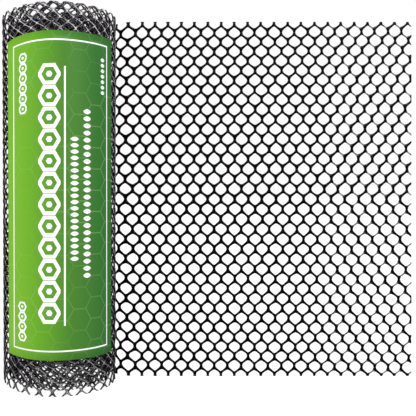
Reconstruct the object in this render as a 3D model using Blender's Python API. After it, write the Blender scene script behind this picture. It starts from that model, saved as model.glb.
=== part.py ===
"""Roll of plastic chicken wire standing on its end, with its loose end drawn out flat.

The net is wound into a roll with an open core. Its last stretch leaves the outside of the
roll and stands beside it as a flat sheet, and a printed label wraps the front of the roll.
The solids carry the loose sheet's cells at twice their real pitch: cut through in the loose
end, and as a raised net on the outside of the wound form. Units are metres, +Z is up, and
the origin is at the middle of the underside of the whole thing.
"""
import math

import bmesh
import bpy
from mathutils import Vector
from mathutils.geometry import delaunay_2d_cdt

# The net
NET_HEIGHT = 0.400
NET_LENGTH = 3.05
NET_THICKNESS = 0.0024
CELL_WIDTH = 0.0152
ROW_PITCH = 0.01104

# The roll
ROLL_RADIUS = 0.0633
LAYER_PITCH = 0.0030
LEAVE_ANGLE = math.radians(42)
RAISED = 0.0022
RIM_MARGIN = 0.0010
TURN_STEPS = 48

# The narrow spiral gap that parts the main turns, seen on the roll's ends
TURN_GAP_WIDTH = 0.0012
TURN_GAP_PITCH = 0.0060
TURN_GAP_OUTER = 0.0560
TURN_GAP_INNER = 0.0440
TURN_GAP_STEPS = 24

# The loose end
SHEET_PLANE = 0.017
SHEET_REACH = 0.3935
BEND_RADIUS = 0.030
CUT_MARGIN = 0.0029
CLEARANCE = 0.0003

# The label
LABEL_START = math.radians(179.4)
LABEL_END = math.radians(299)
LABEL_BOTTOM = 0.037
LABEL_TOP = 0.370
LABEL_THICKNESS = 0.0010
LABEL_CLEARANCE = 0.0004
LABEL_STEPS = 24

# The solids' cells: twice the net's own pitch, with the same share of open area
CELL_SCALE = 2.0
CELL_COLUMNS = 12
BEND_COLUMNS = 1
CELL_ROWS = 18
CELL_STEP = CELL_SCALE * CELL_WIDTH
ROW_STEP = CELL_SCALE * ROW_PITCH
STRAND_WIDTH = 0.0048
SIDE_HALF = 0.0040
TIP_HALF = 0.0135

FULL_TURN = 2 * math.pi
WELD = 1e-6
TRIANGLES_INSIDE = 1

# The axis lies left of the middle, so that the whole thing is centred on the origin
LEFT_REACH = ROLL_RADIUS - LAYER_PITCH * (math.pi - LEAVE_ANGLE) / FULL_TURN
AXIS_X = -(SHEET_REACH - LEFT_REACH) / 2


def clear_scene():
    for item in list(bpy.data.objects):
        bpy.data.objects.remove(item, do_unlink=True)


def plastic(name, colour, roughness):
    material = bpy.data.materials.new(name)
    material.use_nodes = True
    shader = material.node_tree.nodes["Principled BSDF"]
    shader.inputs["Base Color"].default_value = (*colour, 1.0)
    shader.inputs["Roughness"].default_value = roughness
    shader.inputs["Metallic"].default_value = 0.0
    return material


def outer_radius(turn):
    """Radius of the net's outer face, turn radians back from where the loose end leaves."""
    return ROLL_RADIUS - LAYER_PITCH * turn / FULL_TURN


def around(turn, radius, height):
    """A point on the roll, its angle counted back from where the loose end leaves."""
    angle = LEAVE_ANGLE + turn
    return (radius * math.cos(angle), radius * math.sin(angle), height)


def row_level(row):
    """Height of a row of crossings, and of the holes between them."""
    return NET_HEIGHT / 2 + (row - CELL_ROWS / 2) * ROW_STEP


def hole_corners(centre, level, step):
    """Corners of one cell's hole: short upright sides, a point at the top and the bottom."""
    half = (step - STRAND_WIDTH) / 2
    return [(centre, level - TIP_HALF), (centre + half, level - SIDE_HALF),
            (centre + half, level + SIDE_HALF), (centre, level + TIP_HALF),
            (centre - half, level + SIDE_HALF), (centre - half, level - SIDE_HALF)]


def hole_loops(first_column, columns, step):
    """All whole holes; odd rows sit half a cell aside, with half holes at the cut ends."""
    loops = []
    for row in range(1, CELL_ROWS):
        aside = 0.0 if row % 2 else 0.5
        start = 1 if row % 2 else 0
        for column in range(start, columns):
            centre = first_column + (column + aside) * step
            loops.append(hole_corners(centre, row_level(row), step))
    return loops


def edge_notches(first_column, columns, step, row, edge):
    """The open half cells along the top or bottom edge, left to right."""
    towards = 1 if edge > row_level(row) else -1
    half = (step - STRAND_WIDTH) / 2
    level = row_level(row)
    points = []
    for column in range(columns):
        centre = first_column + (column + 0.5) * step
        points += [(centre - half, edge), (centre - half, level - towards * SIDE_HALF),
                   (centre, level - towards * TIP_HALF),
                   (centre + half, level - towards * SIDE_HALF), (centre + half, edge)]
    return points


def end_notches(column, step, end, inward):
    """The open half cells along a cut end, bottom to top; inward is 1 at a left end."""
    half = (step - STRAND_WIDTH) / 2
    cut_half = TIP_HALF - (TIP_HALF - SIDE_HALF) * abs(end - column) / half
    tip_shows = (column - end) * inward > 0
    points = []
    for row in range(1, CELL_ROWS, 2):
        level = row_level(row)
        lower_tip = [(column, level - TIP_HALF)] if tip_shows else []
        upper_tip = [(column, level + TIP_HALF)] if tip_shows else []
        points += ([(end, level - cut_half)] + lower_tip
                   + [(column + inward * half, level - SIDE_HALF),
                      (column + inward * half, level + SIDE_HALF)]
                   + upper_tip + [(end, level + cut_half)])
    return points


def net_outline(left, right, first_column, columns, step, bottom, top):
    """The net's jagged outline, counter-clockwise from its lower left corner."""
    last_column = first_column + columns * step
    lower = edge_notches(first_column, columns, step, 0, bottom)
    upper = edge_notches(first_column, columns, step, CELL_ROWS, top)
    return ([(left, bottom)] + lower + [(right, bottom)]
            + end_notches(last_column, step, right, -1)
            + [(right, top)] + upper[::-1] + [(left, top)]
            + end_notches(first_column, step, left, 1)[::-1])


def fill_region(mesh, rims, outlines):
    """Triangles over what lies inside the first rim and outside the others.

    The rims hold the corners, and the outlines their flat places, counter-clockwise."""
    corners = [corner for rim in rims for corner in rim]
    places = [Vector(place) for outline in outlines for place in outline]
    loops = []
    for outline in outlines:
        start = sum(len(loop) for loop in loops)
        loops.append(list(range(start, start + len(outline))))
    found = delaunay_2d_cdt(places, [], loops, TRIANGLES_INSIDE, 0.0, True)
    triangles, sources, owners = found[2], found[3], found[5]
    for triangle, owner in zip(triangles, owners):
        if owner == [0]:
            mesh.faces.new([corners[sources[place][0]] for place in triangle])


def flat_rim(mesh, outline, depth):
    return [mesh.verts.new((along, depth, height)) for along, height in outline]


def bridge(mesh, lower, upper):
    """Quads between two closed rims with the same number of corners."""
    count = len(lower)
    for place in range(count):
        after = (place + 1) % count
        mesh.faces.new((lower[place], lower[after], upper[after], upper[place]))


def finish_object(mesh, name, material):
    """One closed body, faces out, placed on the roll's axis."""
    bmesh.ops.remove_doubles(mesh, verts=mesh.verts, dist=WELD)
    bmesh.ops.recalc_face_normals(mesh, faces=mesh.faces)
    data = bpy.data.meshes.new(name)
    mesh.to_mesh(data)
    mesh.free()
    data.materials.append(material)
    item = bpy.data.objects.new(name, data)
    item.location.x = AXIS_X
    bpy.context.scene.collection.objects.link(item)
    return item


def bend_geometry():
    """Start point, heading and run of the loose end before it bends flat."""
    radius = ROLL_RADIUS - NET_THICKNESS / 2
    start = (radius * math.cos(LEAVE_ANGLE), radius * math.sin(LEAVE_ANGLE))
    heading = math.pi / 2 - LEAVE_ANGLE
    drop = start[1] - SHEET_PLANE - BEND_RADIUS * (1 - math.cos(heading))
    run = drop / math.sin(heading)
    return start, heading, run


def sheet_length():
    """Length of the loose end along its own middle, from the roll to the cut end."""
    start, heading, run = bend_geometry()
    flat_start = start[0] + run * math.cos(heading) + BEND_RADIUS * math.sin(heading)
    return run + BEND_RADIUS * heading + SHEET_REACH - flat_start


def on_sheet(along, depth, height):
    """Lay a flat point on the loose end: tangent run, easy bend, then flat."""
    start, heading, run = bend_geometry()
    straight = min(along, run)
    x = start[0] + straight * math.cos(heading)
    y = start[1] - straight * math.sin(heading)
    turned = min(max(along - run, 0.0) / BEND_RADIUS, heading)
    x += BEND_RADIUS * (math.sin(heading) - math.sin(heading - turned))
    y -= BEND_RADIUS * (math.cos(heading - turned) - math.cos(heading))
    x += max(along - run - BEND_RADIUS * heading, 0.0)
    facing = heading - turned
    return (x + depth * math.sin(facing), y + depth * math.cos(facing), height)


def make_stretch(name, left, right, first_column, columns, step, material):
    """One stretch of the drawn-out net, cut through at every cell."""
    mesh = bmesh.new()
    outlines = [net_outline(left, right, first_column, columns, step, 0.0, NET_HEIGHT)]
    outlines += hole_loops(first_column, columns, step)
    sides = []
    for depth in (-NET_THICKNESS / 2, NET_THICKNESS / 2):
        rims = [flat_rim(mesh, outline, depth) for outline in outlines]
        fill_region(mesh, rims, outlines)
        sides.append(rims)
    for front, back in zip(*sides):
        bridge(mesh, front, back)
    for corner in mesh.verts:
        corner.co = on_sheet(*corner.co)
    return finish_object(mesh, name, material)


def make_loose_end(material):
    """The drawn-out end of the net: the bend behind the roll, and the flat sheet.

    They meet along a column of cells, a hair apart, so that each is nearly flat."""
    step = (sheet_length() - 2 * CUT_MARGIN) / CELL_COLUMNS
    seam = CUT_MARGIN + BEND_COLUMNS * step
    make_stretch("loose_bend", CLEARANCE, seam - CLEARANCE / 2,
                 CUT_MARGIN, BEND_COLUMNS, step, material)
    make_stretch("loose_end", seam + CLEARANCE / 2, sheet_length(),
                 seam, CELL_COLUMNS - BEND_COLUMNS, step, material)


def core_radius():
    """Radius of the open core that the wound length leaves."""
    wound = NET_LENGTH - sheet_length()
    return math.sqrt(ROLL_RADIUS ** 2 - wound * LAYER_PITCH / math.pi)


def inner_turn():
    """Angle, back from where the loose end leaves, at which the net's inner end lies."""
    turns = (ROLL_RADIUS - NET_THICKNESS - core_radius()) / LAYER_PITCH
    return (turns % 1.0) * FULL_TURN


def core_loop():
    """The open core's outline, one layer's step at the net's inner end."""
    points = []
    for place in range(TURN_STEPS + 1):
        share = place / TURN_STEPS
        radius = core_radius() + LAYER_PITCH * (1 - share)
        points.append((inner_turn() + share * FULL_TURN, radius))
    return points


def turn_gap_loop():
    """The spiral gap between the main turns: out along one side, back along the other."""
    turns = (TURN_GAP_OUTER - TURN_GAP_INNER) / TURN_GAP_PITCH
    steps = round(turns * TURN_GAP_STEPS)
    outer_side = []
    inner_side = []
    for place in range(steps + 1):
        turn = place / TURN_GAP_STEPS * FULL_TURN
        middle = TURN_GAP_OUTER - TURN_GAP_PITCH * turn / FULL_TURN
        outer_side.append((turn, middle + TURN_GAP_WIDTH / 2))
        inner_side.append((turn, middle - TURN_GAP_WIDTH / 2))
    return outer_side + inner_side[::-1]


def add_raised_net(mesh):
    """The roll's outer wall: the drum with the net standing proud of it, then wrapped."""
    skin = bmesh.new()
    girth = FULL_TURN * outer_radius(math.pi)
    first_column = (girth - CELL_COLUMNS * CELL_STEP) / 2
    steps = [girth * place / TURN_STEPS for place in range(TURN_STEPS + 1)]
    border = [(along, 0.0) for along in steps] + [(along, NET_HEIGHT) for along in steps[::-1]]
    outlines = [net_outline(RIM_MARGIN, girth - RIM_MARGIN, first_column, CELL_COLUMNS,
                            CELL_STEP, RIM_MARGIN, NET_HEIGHT - RIM_MARGIN)]
    outlines += hole_loops(first_column, CELL_COLUMNS, CELL_STEP)
    feet = [flat_rim(skin, outline, 0.0) for outline in outlines]
    ridges = [flat_rim(skin, outline, RAISED) for outline in outlines]
    fill_region(skin, [flat_rim(skin, border, 0.0), feet[0]], [border, outlines[0]])
    fill_region(skin, ridges, outlines)
    for foot, ridge in zip(feet, ridges):
        bridge(skin, foot, ridge)
    for foot in feet[1:]:
        skin.faces.new(foot)
    bmesh.ops.triangulate(skin, faces=skin.faces)
    for corner in skin.verts:
        along, depth, height = corner.co
        turn = along / girth * FULL_TURN
        corner.co = around(turn, outer_radius(turn) - RAISED + depth, height)
    data = bpy.data.meshes.new("skin")
    skin.to_mesh(data)
    skin.free()
    mesh.from_mesh(data)
    bpy.data.meshes.remove(data)


def make_roll(material):
    """The wound net as one solid: open core, main turns, raised net outside."""
    mesh = bmesh.new()
    drum = [(FULL_TURN * place / TURN_STEPS,
             outer_radius(FULL_TURN * place / TURN_STEPS) - RAISED)
            for place in range(TURN_STEPS + 1)]
    ends = []
    for height in (0.0, NET_HEIGHT):
        rims = []
        outlines = []
        for loop in (drum, core_loop(), turn_gap_loop()):
            places = [around(turn, radius, height) for turn, radius in loop]
            rims.append([mesh.verts.new(place) for place in places])
            outlines.append([place[:2] for place in places])
        fill_region(mesh, rims, outlines)
        ends.append(rims)
    lower, upper = ends
    for below, above in zip(lower[1:], upper[1:]):
        bridge(mesh, below, above)
    mesh.faces.new((lower[0][-1], lower[0][0], upper[0][0], upper[0][-1]))
    add_raised_net(mesh)
    return finish_object(mesh, "roll", material)


def make_label(material):
    """The printed label, a thin sheet bent round the front of the roll."""
    mesh = bmesh.new()
    walls = []
    for rise in (LABEL_CLEARANCE, LABEL_CLEARANCE + LABEL_THICKNESS):
        columns = []
        for place in range(LABEL_STEPS + 1):
            turn = LABEL_START + (LABEL_END - LABEL_START) * place / LABEL_STEPS
            radius = outer_radius(turn) + rise
            columns.append([mesh.verts.new(around(turn, radius, height))
                            for height in (LABEL_BOTTOM, LABEL_TOP)])
        walls.append(columns)
    inner, outer = walls
    for columns in walls:
        for before, after in zip(columns, columns[1:]):
            mesh.faces.new((before[0], after[0], after[1], before[1]))
    for edge in (0, 1):
        for place in range(LABEL_STEPS):
            mesh.faces.new((inner[place][edge], inner[place + 1][edge],
                            outer[place + 1][edge], outer[place][edge]))
    for place in (0, LABEL_STEPS):
        mesh.faces.new((inner[place][0], inner[place][1], outer[place][1], outer[place][0]))
    return finish_object(mesh, "label", material)


def build():
    clear_scene()
    black_plastic = plastic("black_plastic", (0.012, 0.012, 0.013), 0.32)
    green_print = plastic("green_print", (0.10, 0.33, 0.04), 0.30)
    make_roll(black_plastic)
    make_loose_end(black_plastic)
    make_label(green_print)


build()
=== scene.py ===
"""Looks of a roll of plastic chicken wire that stands on its end with its loose end drawn out.

The net is glossy black extruded plastic with hexagonal cells. It is first made flat, cell by
cell, then trimmed to its width and length, and then laid along the roll's spiral and the flat
stretch behind it. A printed label wraps the front of the roll. Metres, +Z up, row frame.
"""

import math
from collections import namedtuple

import bmesh
import bpy
import numpy as np
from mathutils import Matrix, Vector


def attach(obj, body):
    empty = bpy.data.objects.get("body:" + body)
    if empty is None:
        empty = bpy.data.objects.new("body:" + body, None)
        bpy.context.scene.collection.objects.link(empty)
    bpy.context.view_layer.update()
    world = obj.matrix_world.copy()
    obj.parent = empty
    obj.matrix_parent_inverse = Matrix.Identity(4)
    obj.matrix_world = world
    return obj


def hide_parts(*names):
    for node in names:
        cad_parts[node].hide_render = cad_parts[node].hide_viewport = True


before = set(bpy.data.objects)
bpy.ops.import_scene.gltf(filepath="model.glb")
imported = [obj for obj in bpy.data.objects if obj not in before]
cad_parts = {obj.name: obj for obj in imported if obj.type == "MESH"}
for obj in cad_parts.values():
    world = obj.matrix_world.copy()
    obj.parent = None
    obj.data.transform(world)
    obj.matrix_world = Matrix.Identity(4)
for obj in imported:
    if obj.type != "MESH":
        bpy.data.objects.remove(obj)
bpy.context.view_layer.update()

FULL_TURN = 2 * math.pi

# The net and the roll, in the sizes of the solids
NET_HEIGHT = 0.400
NET_LENGTH = 3.05
NET_THICKNESS = 0.0024
ROLL_RADIUS = 0.0633
LAYER_PITCH = 0.0030
LEAVE_ANGLE = math.radians(42)
SHEET_PLANE = 0.017
SHEET_REACH = 0.3935
BEND_RADIUS = 0.030
LEFT_REACH = ROLL_RADIUS - LAYER_PITCH * (math.pi - LEAVE_ANGLE) / FULL_TURN
AXIS_X = -(SHEET_REACH - LEFT_REACH) / 2
MIDDLE_RADIUS = ROLL_RADIUS - NET_THICKNESS / 2

# A hole's end: the angle its two walls face up or down, how far they lie from the hole's
# middle, and how sharp the corners are
End = namedtuple("End", "facing wall sharpness")
SHEET_OUTER_END = End(math.radians(49.2), 0.00544, 11.5)
SHEET_INNER_END = End(math.radians(56.8), 0.00533, 8.5)
ROLL_END = End(math.radians(57.4), 0.00365, 4.7)

# A net: its rows of crossings, the usual width and row step of its cells, half the length of a
# crossing in rows, how far a hole's middle lies from the crossings beside it, the hole's end
# towards the net's nearer edge and its other end, half the depth of a strand and of a
# crossing, and how far the strands of one slant lie in front of the others
Net = namedtuple("Net", "rows width pitch crossing crossing_wall outer_end inner_end "
                        "strand_depth crossing_depth step")
SHEET_NET = Net(rows=36, width=0.01558, pitch=0.01099, crossing=0.25, crossing_wall=0.00641,
                outer_end=SHEET_OUTER_END, inner_end=SHEET_INNER_END,
                strand_depth=0.00110, crossing_depth=0.00142, step=0.00026)
ROLL_NET = Net(rows=72, width=0.0149, pitch=0.0055, crossing=0.08, crossing_wall=0.0074,
               outer_end=ROLL_END, inner_end=ROLL_END,
               strand_depth=0.00085, crossing_depth=0.00115, step=-0.00026)

# The rows, as shares of all, over which the holes turn over at the net's middle
TURNED_OVER = (0.46, 0.54)

# Across a strand, from its outer middle over the hole's wall to its inner middle: how far
# towards the wall, and how deep
FINE_PROFILE = [(0.0, 1.0), (0.58, 0.80), (1.0, 0.0), (0.58, -0.80), (0.0, -1.0)]
PLAIN_PROFILE = [(0.0, 1.0), (0.88, 0.52), (0.88, -0.52), (0.0, -1.0)]
LEAN_PROFILE = [(0.0, 1.0), (1.0, 0.0), (0.0, -1.0)]

# How finely a net's cells are made: the points along a strand between its ends, whether the
# crossings have a point at their middle, and the strand's profile
Detail = namedtuple("Detail", "between with_sides profile")
SHEET_DETAIL = Detail(3, True, FINE_PROFILE)
OUTER_DETAIL = Detail(2, False, PLAIN_PROFILE)
MIDDLE_DETAIL = Detail(1, False, PLAIN_PROFILE)
CORE_DETAIL = Detail(1, False, LEAN_PROFILE)

# The pieces of the wound net: the turn at which each ends, and how finely its cells are made
ROLL_PIECES = [(1, OUTER_DETAIL), (2, OUTER_DETAIL), (3, MIDDLE_DETAIL), (4, MIDDLE_DETAIL),
               (6, CORE_DETAIL), (9, CORE_DETAIL)]

# How much the strands' width varies by chance from hole to hole, and how much thinner they are
# at the sheet's cut end than near the roll, as shares of their width
RANDOM_SEED = 11
STRAND_VARIATION = 0.05
STRAND_THINNING = 0.20

# Towards its cut end the sheet's strands of one slant grow thin, with grey painted on them as a
# highlight, and the rest grows thick: over which shares of its length, and by how much. Below its
# middle row the strands of the other slant grow thin and take the painted highlight
SLANT_SHARES = (0.66, 0.80)
SLANT_THIN = -0.32
SLANT_THICK = 0.06

# Painted highlights: pale lines painted along the crests of the wound strands. How strong they
# are on the strands that lie behind and at the roll's foot, and how much of them is lost on the
# inner turns, which lie in shade, from which turn to which
PAINTED_HIGHLIGHT_BEHIND = 0.50
PAINTED_HIGHLIGHT_AT_FOOT = 0.74
PAINTED_HIGHLIGHT_LOSS = 0.30
PAINTED_HIGHLIGHT_TURNS = (0.95, 1.95)

# Small uneven shifts of the crossings: how far each wave moves them, and for each wave how
# fast it runs by column and by row, and where it starts
SHEET_WANDER = 0.00020
ROLL_WANDER = 0.00058
WANDER_ALONG = [(0.93, 1.71, 0.0), (2.31, -1.13, 1.3)]
WANDER_UP = [(1.37, -0.83, 0.7), (0.61, 2.17, 2.9)]

# Where the lowest and the highest row of crossings lie on the roll. Below the lowest row the
# wound net is this much longer for each row, so that its cut strands reach the foot
LOWEST_ROW = 0.0050
HIGHEST_ROW = 0.4008
CUT_STRETCH = 0.0025

# The drawn-out sheet's cells are widest at its middle. Columns are counted from the first
# one past the roll. Shares of the way from the middle column and the middle row give each
# crossing's place
MIDDLE_COLUMN = 10.0
MIDDLE_X = 0.22507
HALF_WIDTH = 0.15583
COLUMN_BOW = 0.00153
WIDTH_LOSS = 0.00517
EDGE_LOSS = 0.00085
LEAN_OF_PITCH = 0.00089
MIDDLE_Z = 0.19977
HALF_RISE = 0.20371
RISE_ALONG = 0.00142
RISE_AT_ENDS = 0.00041
RIM_LOSS = 0.00475

# The sheet's cells begin in full at one column. From there back to the join they change to
# the wound net's heights. The first cells are shifted towards the roll, less and less up to
# a last column
SHEET_COLUMN = -1.0
BEND_SHIFT = 0.0040
BEND_SHIFT_END = 0.6

# The wound net has two rows for each row of the sheet. They join behind the roll, in a
# column of crossings
JOIN_COLUMN = -3.0
JOIN_ALONG = -0.0078

# Unevenness of the wound net: slow waves round the roll, some of which turn over from foot to
# top, and the left side's lean. The net's edges are drawn in at the left
WAVE_REACH = 0.00030
EVEN_WAVES = 2
EVEN_START = 0.6
TWISTED_WAVES = 5
TWISTED_START = 2.1
TWISTED_SHARE = 0.8
ROLL_LEAN = 0.0016
DRAWN_IN = 0.0048
DRAWN_ANGLE = math.radians(195)

# The inner turns are narrower: each step says between which turns it grows, and how far
# further inside the bottom and the top edge it ends. Some turns are slipped along, by other
# amounts at the bottom and at the top. The outer turn stands off
TIGHTER = [(0.75, 1.50, 0.0046, -0.0014), (1.75, 2.50, 0.0, -0.0010),
           (2.75, 3.60, 0.0, 0.0104), (3.55, 4.40, 0.026, 0.0)]
SLIPS = [(0.75, 1.50, -0.0037, -0.0010), (1.75, 2.50, 0.0, 0.0019), (2.75, 3.50, -0.0041, 0.0)]
LOOSE_GAP = 0.0030
LOOSE_TURNS = (0.90, 1.35)

# The net's mesh: the columns to spare before it is trimmed, how many steps to a column, a row
# and a metre of depth its corners are welded at, and the shortest edge that is kept
SPARE_COLUMNS = 2
WELD_STEPS = np.array([1e5, 1e5, 1e7])
SLIVER = 2e-6

# The label, in turn angles back from where the loose end leaves, heights and half its flat
# width. At its left its top edge droops and its bottom edge rises
LABEL_START = math.radians(179.4)
LABEL_END = math.radians(299.0)
LABEL_BOTTOM = 0.037
LABEL_TOP = 0.370
LABEL_HALF = 0.0646
LABEL_THICKNESS = 0.00035
LABEL_CLEARANCE = 0.0005
LABEL_DROOP = 0.0080
LABEL_RISE = 0.0037
LABEL_STEPS = 72
LABEL_ROWS = 24

# The label's print, in metres from its upright middle line and from the floor: the soft edge
# of its ink, and boxes of left, right, bottom and top
PRINT_EDGE = 0.00025
KEYLINE = (-0.0548, 0.0552, 0.0455, 0.3615)
KEYLINE_WIDTH = 0.0015
RULE = (0.0026, 0.0044, 0.0719, 0.334)

# Boxes with hexagons stacked up them, and how many. The middle line of a hexagon's ring, half
# the ring's width and the filled middle are shares of the step from one hexagon to the next
HEXAGON_ROWS = [((-0.0235, -0.0009, 0.0739, 0.337), 12), ((-0.0461, -0.0365, 0.288, 0.351), 6),
                ((-0.0480, -0.0365, 0.054, 0.095), 4)]
RING_MIDDLE = 0.40
RING_HALF = 0.085
RING_FILLED = 0.13

# Boxes with leaves stacked up them, and how many. Half a leaf's breadth is a share of the step
# from one leaf to the next, and the vein along its middle is in metres
LEAF_ROWS = [((0.0088, 0.0181, 0.136, 0.264), 20), ((0.0225, 0.0317, 0.118, 0.293), 24),
             ((0.0445, 0.0505, 0.308, 0.348), 7)]
LEAF_HALF = 0.34
LEAF_VEIN = 0.0003

# The label's pale honeycomb: the step of its columns, half a cell's height, and its lines
COMB_COLUMN = 0.019
COMB_HALF = 0.011
COMB_LINE = 0.0011
COMB_STRENGTH = 0.28
COMB_COLOUR = (0.55, 0.75, 0.35)

# The label's greens from left to right, how the shading shifts with height, and its ink. Here
# and below, a pair of a factor and an addend turns one value into another
GREENS = [(0.0, (0.222, 0.530, 0.0235)), (0.30, (0.121, 0.358, 0.0138)),
          (0.55, (0.057, 0.210, 0.0165)), (0.83, (0.0324, 0.164, 0.0264)),
          (1.0, (0.036, 0.160, 0.034))]
GREEN_TILT = (0.20, -0.04)
WHITE_INK = (0.95, 0.97, 0.93)

# The label's surfaces. Here and below, noise has a scale and a detail, and bump a strength and
# a distance
PATCH_NOISE = (14.0, 1.0)
PATCH_STRENGTH = (1.6, -0.55)
PRINT_GLOSS = 0.22
PRINT_NOISE = (900.0, 2.0)
PRINT_ROUGHNESS = (0.25, 0.36)
PRINT_BUMP = (0.2, 0.0001)
PAPER_NOISE = (300.0, 4.0)
PAPER_ROUGHNESS = 0.75
PAPER_SHADES = [(0.0, (0.62, 0.61, 0.57)), (1.0, (0.80, 0.79, 0.75))]

# The net's plastic, drawn out and wound: how much it shines, how light its black is (the wound
# net's lighter black is painted light on the same plastic), and the colour of its painted
# highlights
Plastic = namedtuple("Plastic", "name gloss lightness rubbed")
DRAWN_PLASTIC = Plastic("net_plastic_drawn", 0.14, 1.0, (0.24, 0.24, 0.25))
WOUND_PLASTIC = Plastic("net_plastic_wound", 0.60, 3.5, (0.96, 0.90, 0.97))
PLASTIC_IOR = 1.5

# Its flow marks: their noise, the part of it that they span, their darkest and lightest grey
# and how much bluer than grey they are. The painted highlights show in patches of the same noise
FLOW_NOISE = (210.0, 4.0)
FLOW_SPAN = (0.35, 0.70)
FLOW_DARK = 0.0008
FLOW_LIGHT = 0.0030
FLOW_BLUE = 1.1
PAINTED_HIGHLIGHT_PATCHES = (4.2, -1.35)
PAINTED_HIGHLIGHT_SHARPNESS = 2.2

# Its fine surface: the noise, the part of it over which the roughness rises, and the bump
FINE_NOISE = (420.0, 3.0)
FINE_SPAN = (0.3, 0.7)
PLASTIC_ROUGHNESS = (0.20, 0.34)
PLASTIC_BUMP = (0.25, 0.0002)

# Camera: the photograph is taken square to the sheet, from half the net's height. AXIS_PIXEL
# is where the camera's own axis meets the picture
FOCAL_PIXELS = 625.0
FRAME_PIXELS = 416.0
AXIS_PIXEL_X = 174.7
AXIS_PIXEL_Y = 198.9
CAMERA_DISTANCE = 0.690
CAMERA_RIGHT = 0.1261
CAMERA_NEAREST = 0.05
CAMERA_FURTHEST = 100.0
SENSOR_MM = 36.0

# Studio: how bright the gloss sees the room in front and behind, over how much of a
# direction's Y the two blend, and how bright the room is as a light
WHITE = (1, 1, 1, 1)
ROOM_FRONT = 0.03
ROOM_BEHIND = 0.20
ROOM_BLEND = 1.2
ROOM_LIGHT = 0.50

# The floor: its size, its own glow, how bright the gloss sees it, and its mottled white
FLOOR_REACH = 40.0
FLOOR_GLOW = 0.95
FLOOR_MIRRORED = 0.06
FLOOR_GLOSS = 0.1
FLOOR_ROUGHNESS = 0.9
FLOOR_NOISE = (3.0, 2.0)
FLOOR_SHADES = [(0.0, (0.24, 0.24, 0.24)), (1.0, (0.28, 0.28, 0.28))]

# The soft lights: names, places, sizes and brightness
LIGHTS = [("light_right", (1.05, -1.30, 1.00), (0.35, 0.35), 26.0),
          ("light_high", (0.25, -1.15, 1.95), (0.35, 0.35), 36.0),
          ("light_left", (-1.25, -0.95, 1.05), (0.30, 0.30), 18.0)]


def bend_geometry():
    """Start point, heading and straight run of the loose end before it bends flat."""
    start = (MIDDLE_RADIUS * math.cos(LEAVE_ANGLE), MIDDLE_RADIUS * math.sin(LEAVE_ANGLE))
    heading = math.pi / 2 - LEAVE_ANGLE
    drop = start[1] - SHEET_PLANE - BEND_RADIUS * (1 - math.cos(heading))
    return start, heading, drop / math.sin(heading)


def sheet_length():
    """Length of the loose end along its own middle, from the roll to the cut end."""
    start, heading, run = bend_geometry()
    flat_start = start[0] + run * math.cos(heading) + BEND_RADIUS * math.sin(heading)
    return run + BEND_RADIUS * heading + SHEET_REACH - flat_start


LOOSE_LENGTH = sheet_length()
WOUND_LENGTH = NET_LENGTH - LOOSE_LENGTH


def turned_at(back):
    """How far round the spiral a point lies, for its distance back along the wound net."""
    inside = MIDDLE_RADIUS ** 2 - LAYER_PITCH * back / math.pi
    return (MIDDLE_RADIUS - np.sqrt(inside)) * FULL_TURN / LAYER_PITCH


def back_at(turn):
    """Distance back along the wound net, for an angle round the spiral."""
    return MIDDLE_RADIUS * turn - LAYER_PITCH * turn ** 2 / (2 * FULL_TURN)


def smooth_share(value, start, end):
    """0 up to the start, 1 from the end on, and a smooth rise between them."""
    share = np.clip((value - start) / (end - start), 0.0, 1.0)
    return share * share * (3 - 2 * share)


def unevenness(angle, height):
    """How far the wound net lies outside its true spiral, at an angle and a height."""
    level = height / NET_HEIGHT
    even = np.sin(EVEN_WAVES * angle + EVEN_START)
    twisted = np.sin(TWISTED_WAVES * angle + TWISTED_START)
    wave = WAVE_REACH * (even + TWISTED_SHARE * twisted * (2 * level - 1))
    lean = ROLL_LEAN * (1 - level) * (1 - np.cos(angle)) / 2
    return wave - lean


def lay_on_roll(back, depth, height):
    """Places of flat points on the roll, for their distance back along the wound net."""
    turn = turned_at(back)
    angle = LEAVE_ANGLE + turn
    radius = MIDDLE_RADIUS - LAYER_PITCH * turn / FULL_TURN + depth
    radius = radius - LOOSE_GAP * smooth_share(turn / FULL_TURN, *LOOSE_TURNS)
    radius = radius + unevenness(angle, height)
    level = height / NET_HEIGHT
    for start, end, bottom, top in TIGHTER:
        tight = smooth_share(turn / FULL_TURN, start, end)
        height = height + tight * (bottom * (1 - level) - top * level)
    drawn = np.maximum(np.cos(angle - DRAWN_ANGLE), 0.0) ** 2
    height = height + DRAWN_IN * drawn * (1 - 2 * level)
    return np.stack([radius * np.cos(angle) + AXIS_X, radius * np.sin(angle), height], axis=-1)


def lay_on_sheet(along, depth, height):
    """Places of flat points on the loose end: a straight run, the bend and the flat sheet."""
    start, heading, run = bend_geometry()
    straight = np.clip(along, 0.0, run)
    turned = np.clip((along - run) / BEND_RADIUS, 0.0, heading)
    flat = np.maximum(along - run - BEND_RADIUS * heading, 0.0)
    facing = heading - turned
    settle = depth + unevenness(LEAVE_ANGLE, height) * (1 - straight / run)
    x = (start[0] + straight * math.cos(heading) + flat
         + BEND_RADIUS * (math.sin(heading) - np.sin(facing)) + settle * np.sin(facing))
    y = (start[1] - straight * math.sin(heading)
         - BEND_RADIUS * (np.cos(facing) - math.cos(heading)) + settle * np.cos(facing))
    return np.stack([x + AXIS_X, y, height], axis=-1)


def lay(along, depth, height):
    """Lays flat points on the roll, or on the loose end where along is more than nothing."""
    wound = lay_on_roll(np.maximum(-along, 0.0), depth, height)
    return np.where((along > 0)[:, None], lay_on_sheet(along, depth, height), wound)


def sheet_along(share):
    """Distance along the net of a column at the sheet's middle height."""
    return (MIDDLE_X + HALF_WIDTH * share + LEAN_OF_PITCH * share ** 2
            - EDGE_LOSS * share ** 3 + LOOSE_LENGTH - SHEET_REACH)


def row_height(net, row):
    """Height of a row of crossings on the roll."""
    return LOWEST_ROW + (HIGHEST_ROW - LOWEST_ROW) * row / net.rows


def waves(table, column, row):
    """The sum of a table's waves at a column and row."""
    return sum(np.sin(by_column * column + by_row * row + start)
               for by_column, by_row, start in table)


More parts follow.
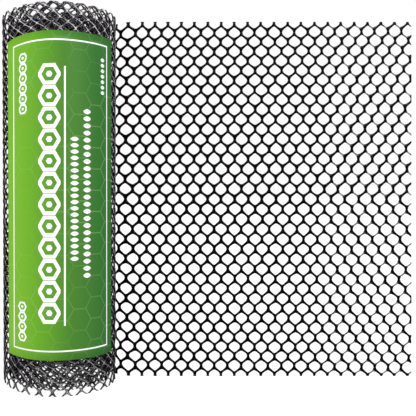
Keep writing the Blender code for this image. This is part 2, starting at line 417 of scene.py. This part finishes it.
def wandered(along, height, column, row, most):
    """Small uneven shifts of the net, none at the join."""
    amount = most * np.minimum(np.abs(column) / 2, 1.0)
    return (along + amount * waves(WANDER_ALONG, column, row),
            height + amount * waves(WANDER_UP, column, row))


def place_on_sheet(column, row):
    """Where a column and row of the drawn-out net lie on the flat net, along it and up it."""
    share = (np.maximum(column, SHEET_COLUMN) - MIDDLE_COLUMN) / MIDDLE_COLUMN
    level = 2 * row / SHEET_NET.rows - 1
    sheet = smooth_share(column, JOIN_COLUMN, SHEET_COLUMN)
    bow = COLUMN_BOW * level ** 2 + WIDTH_LOSS * share * level ** 2
    first = (SHEET_COLUMN - MIDDLE_COLUMN) / MIDDLE_COLUMN
    narrow = (sheet_along(first) - JOIN_ALONG) / (SHEET_COLUMN - JOIN_COLUMN)
    along = (sheet_along(share) - sheet * bow
             + np.minimum(column - SHEET_COLUMN, 0.0) * narrow)
    shifted = 1 - smooth_share(column, SHEET_COLUMN, BEND_SHIFT_END)
    along = along - BEND_SHIFT * sheet * shifted
    drawn_height = (MIDDLE_Z + HALF_RISE * level + RISE_ALONG * share * level
                    + RISE_AT_ENDS * share ** 2 * level - RIM_LOSS * level ** 3)
    height = sheet * drawn_height + (1 - sheet) * row_height(SHEET_NET, row)
    return wandered(along, height, column - JOIN_COLUMN, row, SHEET_WANDER)


def place_on_roll(column, row):
    """Where a column and row of the wound net lie; columns count down from the join."""
    along = JOIN_ALONG + column * ROLL_NET.width
    height = row_height(ROLL_NET, row) + CUT_STRETCH * np.minimum(row, 0.0)
    level = height / NET_HEIGHT
    turns = turned_at(np.maximum(-along, 0.0)) / FULL_TURN
    for start, end, bottom, top in SLIPS:
        along = along - smooth_share(turns, start, end) * (bottom * (1 - level) + top * level)
    return wandered(along, height, column, row, ROLL_WANDER)


def cell_ring(net, detail):
    """Points round one cell along its strands' middles, in columns and rows."""
    side = (0.5, net.crossing)
    top = (0.0, 1 - net.crossing)
    rising = [side]
    for place in range(1, detail.between + 1):
        share = place / (detail.between + 1)
        rising.append((side[0] + (top[0] - side[0]) * share,
                       side[1] + (top[1] - side[1]) * share))
    over = rising + [top] + [(-x, y) for x, y in rising[::-1]]
    if detail.with_sides:
        over = [(0.5, 0.0)] + over
    return over + [(-x, -y) for x, y in over]


def hole_point(net, end, x, y):
    """The point of the hole's edge, a rounded hexagon, that faces a point of the cell's ring."""
    angle = math.atan2(y * net.pitch, x * net.width)
    across = abs(math.cos(angle))
    aside = across * math.cos(end.facing)
    up = abs(math.sin(angle)) * math.sin(end.facing)
    walls = [across / net.crossing_wall, (aside + up) / end.wall, abs(aside - up) / end.wall]
    reach = sum(wall ** end.sharpness for wall in walls) ** (-1 / end.sharpness)
    return reach * math.cos(angle) / net.width, reach * math.sin(angle) / net.pitch


def cell_surface(net, detail, upper):
    """One cell's surface: ring points with their depths, and steps towards the hole. The
    holes of the net's upper half have their outer ends up."""
    rings = []
    steps = []
    for x, y in cell_ring(net, detail):
        end = net.outer_end if (y > 0) == upper else net.inner_end
        hole_x, hole_y = hole_point(net, end, x, y)
        on_strand = net.crossing < abs(y) < 1 - net.crossing
        half_depth = net.strand_depth if on_strand else net.crossing_depth
        aside = net.step * np.sign(x * y) if on_strand else 0.0
        for towards, deep in detail.profile:
            rings.append((x, y, aside + deep * half_depth))
            steps.append(((hole_x - x) * towards, (hole_y - y) * towards, 0.0))
    return np.array(rings), np.array(steps)


def flat_cells(net, first_column, last_column):
    """Centres of all cells between two columns, with a row to spare below and above. Every
    other row sits half a cell aside."""
    centres = []
    for row in range(-1, net.rows + 2):
        aside = 0.0 if row % 2 else 0.5
        for column in range(first_column, last_column + 1):
            centres.append((column + aside, row, 0.0))
    return np.array(centres)


def on_strands(net, rings):
    """Which points of a cell's surface lie on its strands and not on its crossings."""
    return (np.abs(rings[:, 1]) < 1 - net.crossing) & (np.abs(rings[:, 1]) > net.crossing)


def sheet_strands(net, centres, rings):
    """How far along the drawn-out sheet each cell lies, and how far each of its points has
    grown thin, on the strands of one slant, or thick, everywhere else."""
    share = np.clip(centres[:, :1] / (2 * MIDDLE_COLUMN), 0.0, 1.0)
    over_middle = centres[:, 1:2] + rings[:, 1] - net.rows / 2
    falling = on_strands(net, rings) & (rings[:, 0] * rings[:, 1] * over_middle > 0)
    changed = smooth_share(share, *SLANT_SHARES)
    return share, changed * falling, changed * ~falling


def strand_widths(net, centres, rings):
    """Width of the strands round each hole, 1 as usual."""
    chance = np.random.default_rng(RANDOM_SEED)
    widths = 1 + STRAND_VARIATION * chance.uniform(-1, 1, (len(centres), 1))
    if net is SHEET_NET:
        share, thin, thick = sheet_strands(net, centres, rings)
        widths = widths + STRAND_THINNING * (0.5 - share)
        widths = widths + SLANT_THIN * thin + SLANT_THICK * thick
    return widths[:, :, None]


def painted_highlight_shares(net, centres, rings, steps):
    """How strongly each point is painted pale as a highlight: the outermost lines of the wound
    net's strands, and the whole of the drawn-out sheet's thin strands."""
    if net is SHEET_NET:
        _, thin, _ = sheet_strands(net, centres, rings)
        return thin.ravel()
    behind = np.sign(rings[:, 0] * rings[:, 1] * rings[:, 2] * net.step) < 0
    painted_highlights = np.where(on_strands(net, rings) & behind, PAINTED_HIGHLIGHT_BEHIND, 1.0)
    painted_highlights = np.where(np.any(steps, axis=1), 0.0, painted_highlights)
    return np.tile(painted_highlights, len(centres))


def cell_faces(cells, around, across):
    """Four-sided faces of all cells' surfaces, for the points round and across a surface."""
    station = np.arange(around)[:, None] * across
    after = (np.arange(around)[:, None] + 1) % around * across
    step = np.arange(across - 1)[None]
    quad = np.stack([station + step, after + step, after + step + 1, station + step + 1], -1)
    start = np.arange(cells)[:, None, None] * around * across
    return (start + quad.reshape(1, -1, 4)).reshape(-1, 4)


def welded_net(net, first_column, last_column, detail):
    """Corners (column, row, depth), four-sided faces and painted highlight shares of a stretch of
    net.
    """
    rings, steps = cell_surface(net, detail, True)
    _, lower_steps = cell_surface(net, detail, False)
    centres = flat_cells(net, first_column, last_column)
    widths = strand_widths(net, centres, rings)
    upper = smooth_share(centres[:, None, 1:2] / net.rows, *TURNED_OVER)
    inwards = steps * upper + lower_steps * (1 - upper)
    corners = (centres[:, None] + rings + inwards * widths).reshape(-1, 3)
    painted_highlights = painted_highlight_shares(net, centres, rings, steps)
    across = len(detail.profile)
    faces = cell_faces(len(centres), len(rings) // across, across)

    marks = np.round((corners - corners.min(0)) * WELD_STEPS).astype(np.int64)
    spans = marks.max(0) + 1
    keys = (marks[:, 0] * spans[1] + marks[:, 1]) * spans[2] + marks[:, 2]
    _, kept, places = np.unique(keys, return_index=True, return_inverse=True)
    return corners[kept], places.reshape(-1)[faces], painted_highlights[kept]


def flat_stretch(name, start, end, net, detail):
    """Mesh of a stretch of net, laid out flat with columns to spare, and its painted highlights."""
    on_sheet = net is SHEET_NET
    first = JOIN_COLUMN if on_sheet else 0
    first_column = math.floor(first + (start - JOIN_ALONG) / net.width) - SPARE_COLUMNS
    last_column = math.ceil(first + (end - JOIN_ALONG) / net.width) + SPARE_COLUMNS
    corners, faces, painted_highlights = welded_net(net, first_column, last_column, detail)
    place = place_on_sheet if on_sheet else place_on_roll
    along, height = place(corners[:, 0], corners[:, 1])
    data = bpy.data.meshes.new(name)
    data.from_pydata(np.stack([along, -corners[:, 2], height], -1), [], faces.tolist())

    turns = turned_at(np.maximum(-along, 0.0)) / FULL_TURN
    # Painted shade: the painted highlights fade on the inner turns, which lie in shade, and on the
    # wound net they grow weaker towards the roll's foot
    painted_highlights = painted_highlights * (1 - PAINTED_HIGHLIGHT_LOSS * smooth_share(turns, *PAINTED_HIGHLIGHT_TURNS))
    if not on_sheet:
        painted_highlights = painted_highlights * (PAINTED_HIGHLIGHT_AT_FOOT + (1 - PAINTED_HIGHLIGHT_AT_FOOT) * height / NET_HEIGHT)
    painted_highlight = data.attributes.new("painted_highlight", "FLOAT", "POINT")
    painted_highlight.data.foreach_set("value", painted_highlights.astype(np.float32))
    return data


def trim(mesh, place, outward):
    """Cuts the flat net straight across and closes the strands' cut ends."""
    everything = list(mesh.verts) + list(mesh.edges) + list(mesh.faces)
    cut = bmesh.ops.bisect_plane(mesh, geom=everything, plane_co=place, plane_no=outward,
                                 clear_outer=True)
    rims = [part for part in cut["geom_cut"]
            if isinstance(part, bmesh.types.BMEdge) and part.is_boundary]
    for face in bmesh.ops.holes_fill(mesh, edges=rims, sides=0)["faces"]:
        face.smooth = False


def trim_stretch(data, start, end):
    """Trims a flat stretch to the net's height and its own length, and clears slivers."""
    mesh = bmesh.new()
    mesh.from_mesh(data)
    for face in mesh.faces:
        face.smooth = True
    trim(mesh, (0, 0, 0), (0, 0, -1))
    trim(mesh, (0, 0, NET_HEIGHT), (0, 0, 1))
    trim(mesh, (start, 0, 0), (-1, 0, 0))
    trim(mesh, (end, 0, 0), (1, 0, 0))
    bmesh.ops.dissolve_degenerate(mesh, edges=mesh.edges, dist=SLIVER)
    bmesh.ops.recalc_face_normals(mesh, faces=mesh.faces)
    mesh.to_mesh(data)
    mesh.free()


def lay_stretch(data):
    """Lays a flat stretch's points in place. That mirrors it, so its faces are turned about."""
    flat = np.zeros(len(data.vertices) * 3, np.float32)
    data.vertices.foreach_get("co", flat)
    flat = flat.reshape(-1, 3).astype(float)
    laid = lay(flat[:, 0], -flat[:, 1], flat[:, 2])
    data.vertices.foreach_set("co", laid.astype(np.float32).ravel())
    data.flip_normals()
    data.update()


def add_object(name, data):
    """An object in the scene for a mesh, a camera or a light."""
    item = bpy.data.objects.new(name, data)
    bpy.context.scene.collection.objects.link(item)
    return item


def make_net(name, start, end, net, detail, material):
    """One stretch of a net between two places along it, trimmed and laid in place."""
    data = flat_stretch(name, start, end, net, detail)
    trim_stretch(data, start, end)
    lay_stretch(data)
    data.materials.append(material)
    return add_object(name, data)


def new_material(name):
    """A fresh material, its node tree and its main shader."""
    material = bpy.data.materials.new(name)
    material.use_nodes = True
    return material, material.node_tree, material.node_tree.nodes["Principled BSDF"]


def feed(tree, socket, value):
    """Links another node's output to a socket, or sets the socket to a plain value."""
    if isinstance(value, bpy.types.NodeSocket):
        tree.links.new(value, socket)
    else:
        socket.default_value = value


def set_inputs(tree, node, values):
    """Feeds a node's sockets, by their names."""
    for name, value in values.items():
        feed(tree, node.inputs[name], value)


def calc(tree, operation, *values, clamp=False):
    """One arithmetic node; each value is a number or another node's output."""
    node = tree.nodes.new("ShaderNodeMath")
    node.operation = operation
    node.use_clamp = clamp
    for socket, value in zip(node.inputs, values):
        feed(tree, socket, value)
    return node.outputs[0]


def noise(tree, scale, detail):
    """Noise through the piece's own space."""
    place = tree.nodes.new("ShaderNodeTexCoord")
    node = tree.nodes.new("ShaderNodeTexNoise")
    set_inputs(tree, node, {"Vector": place.outputs["Object"], "Scale": scale,
                            "Detail": detail})
    return node.outputs["Fac"]


def ramp(tree, value, stops):
    """The colour at a value, between stops of a position and a colour."""
    node = tree.nodes.new("ShaderNodeValToRGB")
    elements = node.color_ramp.elements
    while len(elements) < len(stops):
        elements.new(0.5)
    for element, (position, colour) in zip(elements, stops):
        element.position = position
        element.color = (*colour, 1)
    set_inputs(tree, node, {"Fac": value})
    return node.outputs["Color"]


def mixed(tree, share, under, over):
    """One colour laid over another, by a share."""
    node = tree.nodes.new("ShaderNodeMix")
    node.data_type = "RGBA"
    set_inputs(tree, node, {"Factor": share, "A": under, "B": (*over, 1)})
    return node.outputs["Result"]


def bumped(tree, height, strength, distance):
    """The surface's normals, tilted by a height."""
    node = tree.nodes.new("ShaderNodeBump")
    set_inputs(tree, node, {"Height": height, "Strength": strength, "Distance": distance})
    return node.outputs["Normal"]


def net_plastic(look):
    """Glossy black extruded plastic with faint flow marks; its outermost lines have painted
    highlights.
    """
    material, tree, shader = new_material(look.name)
    cloudy = noise(tree, *FLOW_NOISE)
    stops = []
    for position, grey in zip(FLOW_SPAN, (FLOW_DARK, FLOW_LIGHT)):
        # The factor lightens the wound net's black as painted light
        black = look.lightness * grey
        stops.append((position, (black, black, black * FLOW_BLUE)))
    # Painted highlight: the point attribute lightens the strands' outermost lines towards a pale
    # colour, in patches of the flow noise
    painted_highlight = tree.nodes.new("ShaderNodeAttribute")
    painted_highlight.attribute_name = "painted_highlight"
    line = calc(tree, "POWER", painted_highlight.outputs["Fac"], PAINTED_HIGHLIGHT_SHARPNESS)
    highlight_patchiness = calc(tree, "MULTIPLY_ADD", cloudy, *PAINTED_HIGHLIGHT_PATCHES, clamp=True)
    rubbed = mixed(tree, calc(tree, "MULTIPLY", line, highlight_patchiness), ramp(tree, cloudy, stops),
                   look.rubbed)
    fine = noise(tree, *FINE_NOISE)
    rough = tree.nodes.new("ShaderNodeMapRange")
    set_inputs(tree, rough, {"Value": fine, "From Min": FINE_SPAN[0], "From Max": FINE_SPAN[1],
                             "To Min": PLASTIC_ROUGHNESS[0], "To Max": PLASTIC_ROUGHNESS[1]})
    set_inputs(tree, shader, {"Base Color": rubbed, "Roughness": rough.outputs["Result"],
                              "IOR": PLASTIC_IOR, "Specular IOR Level": look.gloss,
                              "Normal": bumped(tree, fine, *PLASTIC_BUMP)})
    return material


def inside(tree, depth):
    """1 where a distance into a shape is more than nothing, with a soft printed edge."""
    return calc(tree, "MULTIPLY_ADD", depth, 1 / PRINT_EDGE, 0.5, clamp=True)


def centred(tree, value, middle):
    """How far a value lies from a middle, either way."""
    return calc(tree, "ABSOLUTE", calc(tree, "SUBTRACT", value, middle))


def bar(tree, place, box):
    """Distance into an upright box of (left, right, bottom, top)."""
    left, right, bottom, top = box
    across = centred(tree, place[0], (left + right) / 2)
    up = centred(tree, place[1], (bottom + top) / 2)
    across = calc(tree, "SUBTRACT", (right - left) / 2, across)
    up = calc(tree, "SUBTRACT", (top - bottom) / 2, up)
    return calc(tree, "MINIMUM", across, up)


def hexagon_reach(tree, across, up):
    """How far out a point lies in a hexagon with level top and bottom, towards its sides."""
    slanted = calc(tree, "MULTIPLY", across, math.cos(math.pi / 6))
    slanted = calc(tree, "MULTIPLY_ADD", up, 0.5, slanted)
    return calc(tree, "MAXIMUM", up, slanted)


def honeycomb_line(tree, place):
    """Distance into the lines of the pale honeycomb behind the print."""
    across = calc(tree, "PINGPONG", place[0], COMB_COLUMN)
    up = calc(tree, "PINGPONG", place[1], COMB_HALF)
    near = hexagon_reach(tree, across, up)
    far = hexagon_reach(tree, calc(tree, "SUBTRACT", COMB_COLUMN, across),
                        calc(tree, "SUBTRACT", COMB_HALF, up))
    edge = calc(tree, "SUBTRACT", COMB_HALF, calc(tree, "MINIMUM", near, far))
    return calc(tree, "SUBTRACT", COMB_LINE / 2, edge)


def stacked(tree, place, box, count):
    """The step between things stacked up a box, and how far a point lies across from the
    box's middle and up from the nearest thing's middle."""
    left, right, bottom, top = box
    step = (top - bottom) / count
    across = centred(tree, place[0], (left + right) / 2)
    up = calc(tree, "PINGPONG", calc(tree, "SUBTRACT", place[1], bottom + step / 2), step / 2)
    return step, across, up


def hexagon_row(tree, place, box, count):
    """Distance into bold hexagon rings with filled middles, stacked up a box."""
    step, across, up = stacked(tree, place, box, count)
    reach = hexagon_reach(tree, across, up)
    ring = calc(tree, "ABSOLUTE", calc(tree, "SUBTRACT", reach, step * RING_MIDDLE))
    ring = calc(tree, "SUBTRACT", step * RING_HALF, ring)
    middle = calc(tree, "SUBTRACT", step * RING_FILLED, reach)
    return calc(tree, "MINIMUM", calc(tree, "MAXIMUM", ring, middle), bar(tree, place, box))


def leaf_row(tree, place, box, count):
    """Distance into lying leaves stacked up a box."""
    step, across, up = stacked(tree, place, box, count)
    across = calc(tree, "DIVIDE", across, (box[1] - box[0]) / 2)
    belly = calc(tree, "MULTIPLY", calc(tree, "MULTIPLY", across, across), -step * LEAF_HALF)
    belly = calc(tree, "ADD", belly, step * LEAF_HALF)
    leaf = calc(tree, "SUBTRACT", belly, up)
    vein = calc(tree, "SUBTRACT", up, LEAF_VEIN / 2)
    leaf = calc(tree, "MINIMUM", leaf, vein)
    return calc(tree, "MINIMUM", leaf, bar(tree, place, box))


def white_print(tree, place):
    """Distance into all that is printed white: the keyline, the rule, hexagons and leaves."""
    depth = bar(tree, place, KEYLINE)
    white = calc(tree, "MINIMUM", depth, calc(tree, "SUBTRACT", KEYLINE_WIDTH, depth))
    white = calc(tree, "MAXIMUM", white, bar(tree, place, RULE))
    for draw, rows in ((hexagon_row, HEXAGON_ROWS), (leaf_row, LEAF_ROWS)):
        for box, count in rows:
            white = calc(tree, "MAXIMUM", white, draw(tree, place, box, count))
    return white


def green_ground(tree, place):
    """The label's green shading with a pale, patchy honeycomb over it."""
    across = calc(tree, "MULTIPLY_ADD", place[0], 1 / (2 * LABEL_HALF), 0.5)
    tilt = calc(tree, "MULTIPLY_ADD", place[1], *GREEN_TILT)
    green = ramp(tree, calc(tree, "ADD", across, tilt), GREENS)
    patchy = calc(tree, "MULTIPLY_ADD", noise(tree, *PATCH_NOISE), *PATCH_STRENGTH, clamp=True)
    comb = calc(tree, "MULTIPLY", inside(tree, honeycomb_line(tree, place)), patchy)
    return mixed(tree, calc(tree, "MULTIPLY", comb, COMB_STRENGTH), green, COMB_COLOUR)


def label_print():
    """Printed paper: green shading, pale honeycomb, white keyline and plain white motifs."""
    material, tree, shader = new_material("label_print")
    chart = tree.nodes.new("ShaderNodeUVMap")
    chart.uv_map = "print"
    split = tree.nodes.new("ShaderNodeSeparateXYZ")
    set_inputs(tree, split, {"Vector": chart.outputs["UV"]})
    place = (split.outputs["X"], split.outputs["Y"])
    inked = mixed(tree, inside(tree, white_print(tree, place)), green_ground(tree, place),
                  WHITE_INK)
    fibres = noise(tree, *PRINT_NOISE)
    rough = calc(tree, "MULTIPLY_ADD", fibres, *PRINT_ROUGHNESS)
    set_inputs(tree, shader, {"Base Color": inked, "Roughness": rough,
                              "Specular IOR Level": PRINT_GLOSS,
                              "Normal": bumped(tree, fibres, *PRINT_BUMP)})
    return material


def label_paper():
    """The label's bare back: white paper with faint fibres."""
    material, tree, shader = new_material("label_paper")
    shade = ramp(tree, noise(tree, *PAPER_NOISE), PAPER_SHADES)
    set_inputs(tree, shader, {"Base Color": shade, "Roughness": PAPER_ROUGHNESS})
    return material


def label_skin(mesh, turns, heights, lift):
    """One side of the label, bent round the roll at a distance: its columns of points."""
    skin = []
    for turn in turns:
        angle = LEAVE_ANGLE + turn
        left = max(1 - (turn - LABEL_START) / (LABEL_END - LABEL_START) * 2, 0.0)
        column = []
        for height in heights:
            radius = ROLL_RADIUS - LAYER_PITCH * turn / FULL_TURN + lift
            radius += float(unevenness(angle, height))
            level = (height - LABEL_BOTTOM) / (LABEL_TOP - LABEL_BOTTOM)
            height += left ** 2 * (LABEL_RISE * (1 - level) - LABEL_DROOP * level)
            column.append(mesh.verts.new((AXIS_X + radius * math.cos(angle),
                                          radius * math.sin(angle), height)))
        skin.append(column)
    return skin


def skin_face(skin, step, row):
    """The corners of one of a side's faces, anticlockwise as seen from outside the roll."""
    return (skin[step][row], skin[step + 1][row],
            skin[step + 1][row + 1], skin[step][row + 1])


def label_faces(outer, inner):
    """The label's faces: corners, whether smooth, and 0 for print or 1 for bare paper."""
    for step in range(LABEL_STEPS):
        for row in range(LABEL_ROWS):
            yield skin_face(outer, step, row), True, 0
            yield skin_face(inner, step, row)[::-1], True, 1
        yield ((outer[step + 1][0], outer[step][0], inner[step][0], inner[step + 1][0]),
               False, 1)
        yield ((outer[step][-1], outer[step + 1][-1], inner[step + 1][-1], inner[step][-1]),
               False, 1)
    for row in range(LABEL_ROWS):
        yield (outer[0][row], outer[0][row + 1], inner[0][row + 1], inner[0][row]), False, 1
        yield ((outer[-1][row + 1], outer[-1][row], inner[-1][row], inner[-1][row + 1]),
               False, 1)


def make_label():
    """The printed sheet bent round the front of the roll, with its print laid out flat."""
    turns = np.linspace(LABEL_START, LABEL_END, LABEL_STEPS + 1)
    heights = np.linspace(LABEL_BOTTOM, LABEL_TOP, LABEL_ROWS + 1)
    mesh = bmesh.new()
    chart = mesh.loops.layers.uv.new("print")
    outer = label_skin(mesh, turns, heights, LABEL_CLEARANCE + LABEL_THICKNESS)
    inner = label_skin(mesh, turns, heights, LABEL_CLEARANCE)
    flat = {}
    for step, turn in enumerate(turns):
        across = (turn - (LABEL_START + LABEL_END) / 2) * LABEL_HALF * 2 / (LABEL_END - LABEL_START)
        for row, height in enumerate(heights):
            flat[outer[step][row]] = flat[inner[step][row]] = (across, height)
    for corners, smooth, slot in label_faces(outer, inner):
        face = mesh.faces.new(corners)
        face.smooth = smooth
        face.material_index = slot
        for loop in face.loops:
            loop[chart].uv = flat[loop.vert]
    data = bpy.data.meshes.new("label_sheet")
    mesh.to_mesh(data)
    mesh.free()
    data.materials.append(label_print())
    data.materials.append(label_paper())
    return add_object("label_sheet", data)


def make_floor():
    """A plain white table, lit a little from within so that shadows stay faint."""
    data = bpy.data.meshes.new("floor")
    data.from_pydata([(-FLOOR_REACH, -FLOOR_REACH, 0), (FLOOR_REACH, -FLOOR_REACH, 0),
                      (FLOOR_REACH, FLOOR_REACH, 0), (-FLOOR_REACH, FLOOR_REACH, 0)],
                     [], [(0, 1, 2, 3)])
    material, tree, shader = new_material("pale_floor")
    shade = ramp(tree, noise(tree, *FLOOR_NOISE), FLOOR_SHADES)
    set_inputs(tree, shader, {"Base Color": shade, "Roughness": FLOOR_ROUGHNESS,
                              "Specular IOR Level": FLOOR_GLOSS, "Emission Color": WHITE,
                              "Emission Strength": FLOOR_GLOW})
    rays = tree.nodes.new("ShaderNodeLightPath")
    dim = tree.nodes.new("ShaderNodeEmission")
    set_inputs(tree, dim, {"Strength": FLOOR_MIRRORED})
    either = tree.nodes.new("ShaderNodeMixShader")
    feed(tree, either.inputs["Fac"], rays.outputs["Is Glossy Ray"])
    feed(tree, either.inputs[1], shader.outputs["BSDF"])
    feed(tree, either.inputs[2], dim.outputs["Emission"])
    set_inputs(tree, tree.nodes["Material Output"], {"Surface": either.outputs["Shader"]})
    data.materials.append(material)
    add_object("floor", data)


def make_camera():
    """The photograph's camera, level and square to the sheet."""
    data = bpy.data.cameras.new("camera")
    data.sensor_width = SENSOR_MM
    data.lens = FOCAL_PIXELS / FRAME_PIXELS * SENSOR_MM
    data.shift_x = (FRAME_PIXELS / 2 - AXIS_PIXEL_X) / FRAME_PIXELS
    data.shift_y = (AXIS_PIXEL_Y - FRAME_PIXELS / 2) / FRAME_PIXELS
    data.clip_start = CAMERA_NEAREST
    data.clip_end = CAMERA_FURTHEST
    camera = add_object("camera", data)
    camera.location = (AXIS_X + CAMERA_RIGHT, -CAMERA_DISTANCE, NET_HEIGHT / 2)
    camera.rotation_euler = (math.pi / 2, 0.0, 0.0)
    bpy.context.scene.camera = camera


def make_light(name, place, size, radiance):
    """A rectangular soft light of a given brightness, turned to the middle of the net."""
    data = bpy.data.lights.new(name, "AREA")
    data.shape = "RECTANGLE"
    data.size, data.size_y = size
    data.energy = radiance * math.pi * size[0] * size[1]
    light = add_object(name, data)
    light.location = place
    towards = Vector((0.0, 0.0, NET_HEIGHT / 2)) - Vector(place)
    light.rotation_mode = "QUATERNION"
    light.rotation_quaternion = towards.to_track_quat("-Z", "Y")


def make_world():
    """White all round for the eye, dimmer in front than behind for what the gloss mirrors."""
    world = bpy.data.worlds.new("studio")
    world.use_nodes = True
    tree = world.node_tree
    direction = tree.nodes.new("ShaderNodeTexCoord")
    split = tree.nodes.new("ShaderNodeSeparateXYZ")
    set_inputs(tree, split, {"Vector": direction.outputs["Generated"]})
    behind = calc(tree, "MULTIPLY_ADD", split.outputs["Y"], 1 / ROOM_BLEND, 0.5, clamp=True)
    room = calc(tree, "MULTIPLY_ADD", behind, ROOM_BEHIND - ROOM_FRONT, ROOM_FRONT)
    rays = tree.nodes.new("ShaderNodeLightPath")
    mirrored = calc(tree, "MULTIPLY", room, rays.outputs["Is Glossy Ray"])
    plain = calc(tree, "MULTIPLY", rays.outputs["Is Diffuse Ray"], ROOM_LIGHT)
    total = calc(tree, "ADD", calc(tree, "ADD", mirrored, plain), rays.outputs["Is Camera Ray"])
    set_inputs(tree, tree.nodes["Background"], {"Color": WHITE, "Strength": total})
    bpy.context.scene.world = world


make_world()
make_floor()
make_camera()
for light in LIGHTS:
    make_light(*light)
bpy.context.scene.view_settings.view_transform = "Standard"

drawn_plastic = net_plastic(DRAWN_PLASTIC)
wound_plastic = net_plastic(WOUND_PLASTIC)
pieces = [make_net("net_loose_end", JOIN_ALONG, LOOSE_LENGTH, SHEET_NET, SHEET_DETAIL,
                   drawn_plastic)]
lengths = [LOOSE_LENGTH - JOIN_ALONG]
near = JOIN_ALONG
for number, (turn, detail) in enumerate(ROLL_PIECES, 1):
    far = -min(back_at(turn * FULL_TURN), WOUND_LENGTH)
    pieces.append(make_net(f"net_wound_{number}", far, near, ROLL_NET, detail, wound_plastic))
    lengths.append(near - far)
    near = far
for item, length in zip(pieces, lengths):
    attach(item, "root")
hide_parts("loose_end", "loose_bend")
for item in pieces[1:]:
    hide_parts("roll")

label = make_label()
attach(label, "root")
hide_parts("label")
